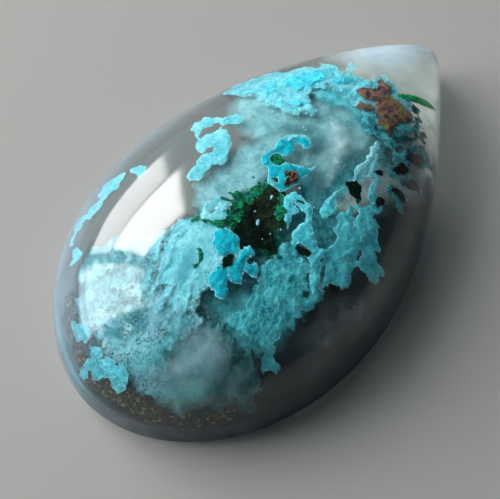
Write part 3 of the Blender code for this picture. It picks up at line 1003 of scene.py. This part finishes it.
def green_minerals(soft):
    """Malachite in and round the dark hollow and between the plumes, with a few pale flakes."""
    green = malachite("malachite", (0.010, 0.26, 0.12), (0.003, 0.05, 0.027))
    growth("green_fringe", green, 0.95, [
        [(-5.7, 0.1), (-5.3, 0.2), (-4.9, 0.0), (-4.4, 0.2), (-3.9, 0.0), (-3.4, 0.1), (-2.8, -0.1),
         (-2.0, -0.1), (-1.4, 0.0), (-0.9, -0.2), (-0.5, -0.5), (-0.4, -1.0), (-0.7, -1.4),
         (-0.6, -1.9), (-1.2, -2.3), (-1.7, -2.7), (-2.4, -3.1), (-3.0, -2.9), (-3.5, -3.2),
         (-3.8, -4.0), (-4.4, -4.3), (-4.9, -3.8), (-5.3, -3.0), (-5.7, -2.4), (-5.6, -1.3)],
        [(-3.15, -0.3, 0.2), (-3.12, 0.4, 0.13), (-3.15, 1.0, 0.03)],
        [(-6.2, 0.25, 0.08), (-5.7, 0.05, 0.22), (-5.2, -0.4, 0.3)],
        [(-5.2, -0.5, 0.3), (-5.6, 0.3, 0.16), (-5.9, 1.1, 0.04)],
        [(-4.5, -0.9, 0.2), (-4.6, -0.3, 0.28), (-4.5, 0.5, 0.1)],
        [(-2.2, -0.3, 0.15), (-2.1, 0.35, 0.02)], [(-1.4, -0.3, 0.15), (-1.2, 0.4, 0.02)],
    ], frill=0.3, frill_size=0.35, soft=0.35, folds=0.05, seed=43)
    dark = malachite("dark_hollow", (0.004, 0.022, 0.014), (0.001, 0.003, 0.002))
    growth("dark_core", dark, 0.8, [
        [(-5.4, -0.8), (-4.7, -0.6), (-3.9, -0.7), (-3.3, -0.9), (-3.2, -1.6), (-3.6, -2.3),
         (-3.7, -3.0), (-3.9, -3.6), (-4.4, -3.9), (-5.0, -3.4), (-5.5, -2.7), (-5.7, -1.9)],
    ], frill=0.35, frill_size=0.5, soft=0.8, lift=0.4, folds=0.05, seed=44)
    brownish = malachite("brown_hollow", (0.020, 0.040, 0.018), (0.006, 0.009, 0.005))
    growth("hollow_side", brownish, 0.85, [
        [(-3.8, -0.6), (-3.0, -0.5), (-2.2, -0.45), (-1.3, -0.6), (-0.9, -1.2), (-1.2, -1.9),
         (-1.9, -2.2), (-2.5, -2.7), (-3.2, -2.9), (-3.9, -2.6)],
    ], frill=0.35, frill_size=0.4, soft=0.6, lift=0.4, folds=0.05, seed=41)
    growth("dark_pits", dark, 0.58, [
        [(2.15, -4.7), (2.3, -4.35), (2.7, -4.15), (3.1, -4.3), (3.25, -4.7), (3.05, -5.1),
         (2.65, -5.25), (2.3, -5.1)],
        [(-7.5, -2.1, 0.15), (-7.1, -2.2, 0.24), (-6.7, -2.15, 0.15)],
        [(-3.3, -4.9, 0.2), (-3.1, -5.5, 0.28)],
    ], frill=0.14, frill_size=0.4, soft=0.35, folds=0.02, seed=42)
    growth("green_fill", green, 0.7, [
        [(0.25, 0.75), (0.7, 0.85), (1.25, 0.5), (1.15, 0.1), (1.05, -0.2), (0.6, -0.3), (0.2, 0.1)],
        [(-0.9, -0.3, 0.15), (-0.5, -0.6, 0.2), (-0.5, -1.0, 0.12)],
        [(-6.3, 1.5, 0.15), (-5.9, 1.3, 0.2)],
        [(-6.0, 1.0, 0.06), (-5.4, 0.3, 0.1), (-5.2, 0.0, 0.15)],
        [(-8.7, -0.8, 0.12), (-8.1, -0.75, 0.18), (-7.75, -0.4, 0.15), (-7.7, -0.1, 0.08)],
        [(2.6, -5.2, 0.15), (2.2, -5.4, 0.1)],
    ], frill=0.08, frill_size=0.3, soft=0.2, seed=45)
    growth("green_threads", green, 0.64, [
        [(-2.95, 0.95, 0.03), (-2.9, 0.2, 0.12), (-2.8, -0.5, 0.16)],
        [(-4.5, 0.1, 0.03), (-4.5, -0.3, 0.12), (-4.5, -0.8, 0.2)],
        [(-5.95, 1.15, 0.04), (-5.6, 0.45, 0.15), (-5.4, -0.2, 0.25)],
        [(-3.9, 1.5, 0.02), (-3.7, 0.7, 0.08), (-3.4, -0.1, 0.14)],
        [(-1.3, 0.5, 0.02), (-1.4, -0.1, 0.1), (-1.7, -0.5, 0.15)],
        [(-0.9, -1.5, 0.1), (-1.3, -1.9, 0.24), (-1.9, -2.3, 0.28), (-2.5, -2.6, 0.16)],
        [(-4.6, 0.35, 0.04), (-4.0, 0.0, 0.18), (-3.4, -0.2, 0.2)],
    ], frill=0.16, frill_size=0.3, soft=0.25, crown=0.05, seed=59)
    growth("hollow_flakes", soft, 0.7, [
        [(-3.8, -1.9, 0.12), (-3.6, -1.8, 0.12)],
        [(-3.2, -1.15, 0.07)],
        [(-1.8, -1.35, 0.06), (-1.6, -1.25, 0.08)],
    ], frill=0.03, frill_size=0.2, seed=46)


def iron_stains():
    """The rust patch by the tip, the star's rusty heart and the dark spots."""
    rust = iron_stain("iron_stain", (0.24, 0.125, 0.078), (0.065, 0.055, 0.062),
                      (0.25, 0.20, 0.065))
    growth("rust_patch", rust, 0.6, [
        [(8.9, -0.2), (9.3, 0.2), (9.65, -0.1), (10.0, -0.4), (10.4, -0.4), (10.95, -0.6),
         (10.8, -1.1), (10.45, -1.5), (10.5, -2.05), (10.4, -2.7), (10.45, -3.5), (10.0, -3.75),
         (9.4, -3.4), (8.65, -3.5), (8.0, -3.6), (7.9, -3.1), (7.85, -2.6), (8.25, -2.2),
         (8.7, -1.9), (8.85, -1.3), (8.7, -0.8)],
        [(8.0, -0.95, 0.22), (8.4, -1.3, 0.3)],
    ], frill=0.26, frill_size=0.4, soft=0.45, seed=47)
    star = iron_stain("star_iron", (0.16, 0.070, 0.040), (0.014, 0.010, 0.010),
                      (0.10, 0.055, 0.030), size=0.3)
    growth("star_rust", star, 0.5, [
        [(-0.55, -1.45), (-0.1, -1.0), (0.2, -0.55), (0.5, -0.85), (0.85, -1.3), (0.45, -1.75),
         (0.0, -1.7)],
    ], frill=0.05, frill_size=0.2, seed=48)
    dark = iron_stain("dark_iron", (0.020, 0.013, 0.010), (0.004, 0.005, 0.005),
                       (0.010, 0.040, 0.034), size=0.25)
    growth("dark_spots", dark, 0.6, [
        [(6.2, -5.5, 0.25), (6.7, -5.5, 0.36), (7.0, -5.6, 0.2)],
        [(7.7, -5.3, 0.28), (8.2, -5.5, 0.36), (8.7, -5.5, 0.2)],
        [(5.0, -6.2, 0.25), (5.15, -6.6, 0.34)],
        [(6.2, -6.4, 0.2), (6.75, -6.4, 0.3)],
        [(3.3, -6.2, 0.15), (3.6, -6.2, 0.2)],
        [(5.1, -5.0, 0.15), (4.9, -4.9, 0.15)],
    ], frill=0.1, frill_size=0.35, soft=0.2, seed=49)


def needle():
    """A bright green needle that points away from the rust patch."""
    green = malachite("malachite_needle", (0.006, 0.50, 0.15), (0.004, 0.30, 0.08))
    growth("needle", green, 0.7, [
        [(10.9, -1.95, 0.14), (11.5, -2.45, 0.26), (12.2, -2.9, 0.24), (13.0, -3.25, 0.05)],
    ], frill=0.04, soft=0.18, seed=50)


def frills(ragged_teal):
    """Ragged teal frills below the rust patch and round the dark spots."""
    growth("rust_frills", ragged_teal, 0.68, [
        [(7.2, -1.5), (7.8, -1.3), (8.4, -1.7), (8.2, -2.4), (7.9, -3.0), (8.3, -3.4), (9.2, -3.5),
         (10.2, -3.7), (10.9, -3.2), (11.2, -2.4), (11.3, -2.9), (11.0, -3.8), (10.2, -4.3),
         (9.2, -4.3), (8.2, -4.5), (7.2, -4.3), (6.9, -3.5), (6.7, -2.6), (6.8, -1.9)],
        [(7.0, -4.7, 0.2), (7.7, -4.85, 0.28), (8.6, -4.9, 0.2), (9.3, -5.1, 0.1)],
    ], frill=0.3, frill_size=0.45, soft=0.25, seed=52)
    dark_teal = chrysocolla("dark_teal", (0.005, 0.026, 0.030), (0.020, 0.12, 0.135),
                            (0.06, 0.30, 0.33))
    growth("frill_shade", dark_teal, 0.64, [
        [(7.4, -3.8, 0.2), (8.3, -4.3, 0.38), (9.3, -4.5, 0.4), (10.2, -4.4, 0.3)],
        [(7.9, -4.95, 0.15), (8.8, -4.95, 0.22)],
        [(10.6, -3.6, 0.2), (11.1, -3.1, 0.25)],
    ], frill=0.4, frill_size=0.45, soft=0.7, lift=0.25, seed=62)
    growth("spot_rims", ragged_teal, 0.75, [
        [(6.0, -5.4, 0.35), (6.7, -5.35, 0.5), (7.3, -5.4, 0.3)],
        [(7.5, -5.0, 0.3), (8.2, -5.3, 0.5), (9.2, -5.4, 0.25)],
        [(6.0, -6.3, 0.25), (6.8, -6.3, 0.4)],
        [(4.8, -6.1, 0.35), (5.1, -6.6, 0.48), (4.5, -7.1, 0.15)],
        [(3.1, -6.1, 0.2), (3.7, -6.2, 0.3)],
    ], frill=0.22, frill_size=0.4, soft=0.2, seed=53)


def sparkles():
    """A few tiny pale grains scattered through the clear middle of the stone."""
    random = np.random.default_rng(60)
    spots = [[(random.uniform(-8.5, 5.5), random.uniform(-4.5, 4.5), random.uniform(0.018, 0.048))]
             for _ in range(64)]
    pale = milk("pale_grains", (0.80, 0.90, 0.92), (0.55, 0.72, 0.74), 0.5, 0.2)
    growth("pale_grains", pale, 0.45, spots, frill=0.02, soft=0.05, crown=0, folds=0, seed=60,
           step=GRAIN_STEP)


def grow_inside():
    """Everything inside the stone, with the finishes that several growths share."""
    bright = chrysocolla("bright_chrysocolla", (0.03, 0.46, 0.60), (0.06, 0.64, 0.80),
                         (0.24, 0.76, 0.86), fade=0.35)
    vivid = chrysocolla("vivid_chrysocolla", (0.003, 0.27, 0.37), (0.006, 0.44, 0.54),
                        (0.22, 0.66, 0.72), grain=0.2, line=0.8, thin=0.0)
    soft = chrysocolla("soft_chrysocolla", (0.06, 0.42, 0.50), (0.20, 0.62, 0.70),
                       (0.42, 0.78, 0.82), thin=0.8, fade=0.3)
    pale = chrysocolla("pale_chrysocolla", (0.09, 0.44, 0.52), (0.26, 0.67, 0.74),
                       (0.50, 0.84, 0.88), grain=0.3, thin=0.7, fade=0.35)
    # A brighter copy of the shaded turquoise for the arch and the side plume, which the lamps light
    # dimly: painted light.
    teal = chrysocolla("teal_chrysocolla", (0.035, 0.43, 0.52), (0.13, 0.76, 0.86),
                       (0.36, 0.82, 0.88), line=0.55, thin=1.3)
    shaded = chrysocolla("shaded_chrysocolla", (0.02, 0.32, 0.38), (0.11, 0.62, 0.69),
                         (0.30, 0.74, 0.78), fade=0.3)
    ragged_teal = chrysocolla("ragged_teal", (0.012, 0.07, 0.085), (0.08, 0.52, 0.58),
                              (0.20, 0.62, 0.66), mottle_size=0.4)
    mossy = mossy_chrysocolla()
    deep = milk("deep_teal", (0.12, 0.52, 0.58), (0.025, 0.22, 0.25), 0.7, 0.4)
    petals(vivid)
    hook_and_star(vivid)
    pale_crests(pale)
    arch(teal)
    side_plume(teal, pale)
    far_growths(soft)
    tip_plume(soft, bright)
    lower_plume(shaded)
    belly_growths(mossy, pale)
    turquoise_hazes(deep)
    clouds(deep)
    base_layers()
    green_minerals(soft)
    iron_stains()
    needle()
    rim_hazes()
    wall_growths(mossy)
    frills(ragged_teal)
    sparkles()


# ---------------------------------------------------------------- the stage, light and view


def lay_floor():
    """A plain pale square floor, a hair below the stone so that the two don't share a plane."""
    corners = [(-FLOOR_HALF, -FLOOR_HALF), (FLOOR_HALF, -FLOOR_HALF), (FLOOR_HALF, FLOOR_HALF),
               (-FLOOR_HALF, FLOOR_HALF)]
    points = np.array([(*corner, -FLOOR_DROP) for corner in corners])
    floor = make_piece("floor", points, [(0, 1, 2, 3)])
    floor.data.materials.append(floor_finish().material)


def light_sky():
    """A pale blue surround that brightens towards the far side, where the window is."""
    world = bpy.data.worlds.new("studio")
    world.use_nodes = True
    nodes = Nodes(world.node_tree)
    toward = nodes.node("ShaderNodeTexCoord", {}, {}, "Generated")
    inputs = {0: toward, 1: (-0.30, 0.95, 0.0)}
    across = nodes.node("ShaderNodeVectorMath", {"operation": "DOT_PRODUCT"}, inputs, "Value")
    background = world.node_tree.nodes["Background"]
    nodes.feed(background.inputs["Color"], (0.78, 0.90, 1.0))
    nodes.feed(background.inputs["Strength"], across.step(0.2, 1.0, 0.06, 1.2))
    bpy.context.scene.world = world


def light_window():
    """A large soft window on the far side, in two columns of an upper and a lower pane."""
    light_pane("upper_pane", azimuth=83, low=34, high=56, glow=9.2, shine=15.5)
    light_pane("lower_pane", azimuth=86, low=14, high=33, glow=9.2, shine=9)
    light_pane("side_pane", azimuth=126, low=14, high=57, glow=7.5, shine=6.3)
    light_pane("side_foot", azimuth=126, low=5, high=14, glow=7.5, shine=3.5)


def light_pane(name, azimuth, low, high, glow, shine):
    """An upright rectangular pane that faces the stone, from a low to a high elevation.

    The glow is the brightness with which it lights things. A second lamp just in front of it
    lights nothing, and is what the polish reflects, with the brightness shine.
    """
    turn = np.radians(azimuth)
    foot, head = PANE_AWAY * np.tan(np.radians([low, high]))
    width, height = PANE_WIDTH * MM, (head - foot) * MM
    toward = Vector((np.cos(turn), np.sin(turn), 0.0))
    facing = toward.to_track_quat("Z", "Y").to_matrix().to_4x4()
    middle = Vector((0.0, 0.0, (foot + head) / 2))
    lamps = ((name, glow, PANE_AWAY + SHINE_GAP), (name + "_shine", shine, PANE_AWAY))
    for label, strength, away in lamps:
        light = bpy.data.lights.new(label, "AREA")
        light.shape = "RECTANGLE"
        light.size = width
        light.size_y = height
        light.energy = strength * np.pi * width * height
        lamp = bpy.data.objects.new(label, light)
        lamp.matrix_world = Matrix.Translation((toward * away + middle) * MM) @ facing
        lamp.visible_diffuse = label == name
        lamp.visible_glossy = label != name
        lamp.visible_transmission = False
        bpy.context.scene.collection.objects.link(lamp)


def place_camera():
    """The viewpoint: above the belly's near side, looking down at the stone."""
    azimuth, elevation = np.radians([VIEW_AZIMUTH, VIEW_ELEVATION])
    level = np.cos(elevation)
    back = Vector((np.sin(azimuth) * level, -np.cos(azimuth) * level, np.sin(elevation)))
    right = Vector((np.cos(azimuth), np.sin(azimuth), 0.0))
    up = back.cross(right)
    aim = right * VIEW_AIM[0] + up * VIEW_AIM[1]
    facing = (back * VIEW_REACH - aim).normalized()
    side = up.cross(facing).normalized()
    turn = Matrix((side, facing.cross(side), facing)).transposed().to_4x4()
    camera = bpy.data.objects.new("camera", bpy.data.cameras.new("camera"))
    camera.data.lens = LENS
    camera.data.sensor_width = SENSOR
    camera.data.clip_start = VIEW_NEAREST * MM
    camera.matrix_world = Matrix.Translation(back * VIEW_REACH * MM) @ turn
    bpy.context.scene.collection.objects.link(camera)
    bpy.context.scene.camera = camera


place_camera()
clear_stone()
grow_inside()
lay_floor()
light_sky()
light_window()
bpy.context.scene.view_settings.view_transform = "Standard"
